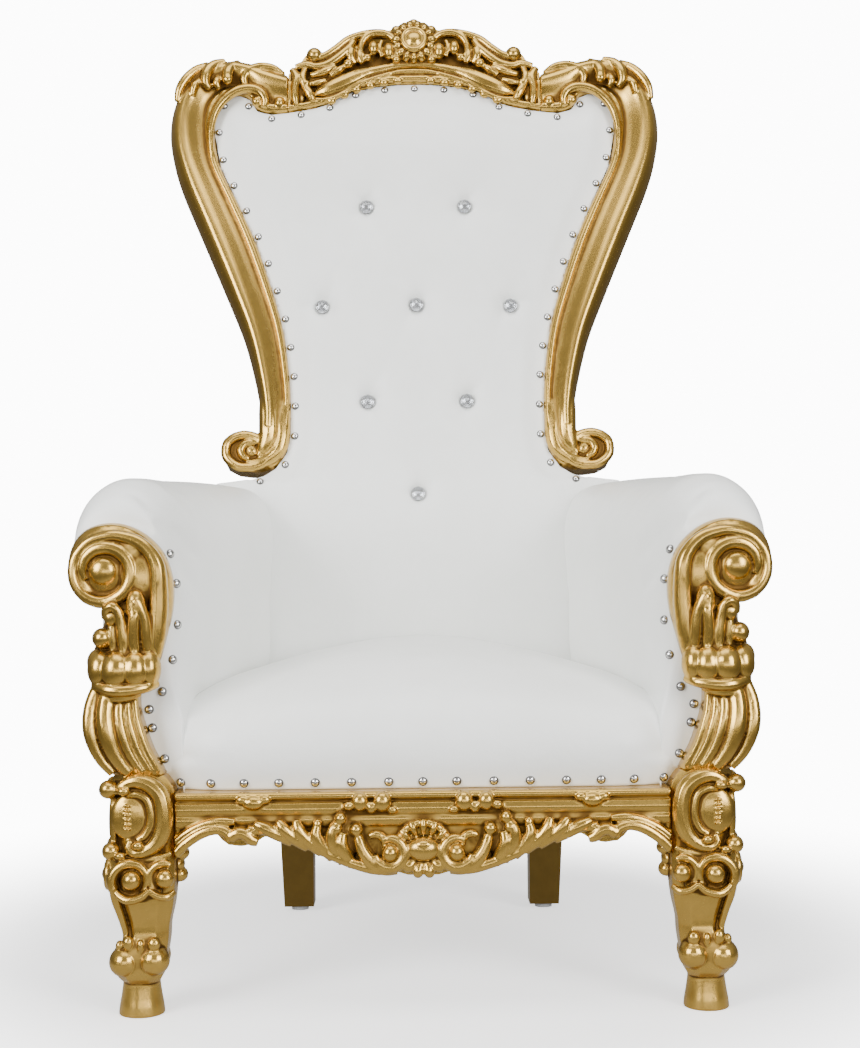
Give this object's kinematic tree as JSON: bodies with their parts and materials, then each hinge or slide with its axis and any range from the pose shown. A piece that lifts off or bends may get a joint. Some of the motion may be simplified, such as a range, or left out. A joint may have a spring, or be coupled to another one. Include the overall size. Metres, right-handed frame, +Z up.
{
  "type": "throne",
  "caption": "High-backed throne with a carved gilt frame, scrolled arm fronts, cabriole front legs, rolled upholstered arms and a tufted back.",
  "frame": {"origin": "on the floor under the middle of the throne", "axes": "+Z up, +X to the right of someone who faces the throne, the front of the throne faces -Y"},
  "size_m": [0.917, 0.7947, 1.5027],
  "materials": {
    "gilt": "gold paint over carved wood",
    "leather": "white leatherette, satin",
    "crystal": "faceted clear stone",
    "glide": "grey moulded glide"
  },
  "bodies": {
    "root": {"front_leg_left": "gilt", "front_leg_right": "gilt", "arm_front_left": "gilt", "arm_front_right": "gilt", "side_rail_left": "gilt", "side_rail_right": "gilt", "back_leg_left": "gilt", "back_leg_right": "gilt", "back_post_left": "gilt", "back_post_right": "gilt", "front_rail": "gilt", "back_rail": "gilt", "crest_rail": "gilt", "glide_left": "glide", "glide_right": "glide", "seat_cushion": "leather", "arm_pad_left": "leather", "arm_pad_right": "leather", "back_cushion": "leather", "back_panel": "leather", "crystal_1": "crystal", "crystal_2": "crystal", "crystal_3": "crystal", "crystal_4": "crystal", "crystal_5": "crystal", "crystal_6": "crystal", "crystal_7": "crystal", "crystal_8": "crystal"}
  },
  "joints": []
}
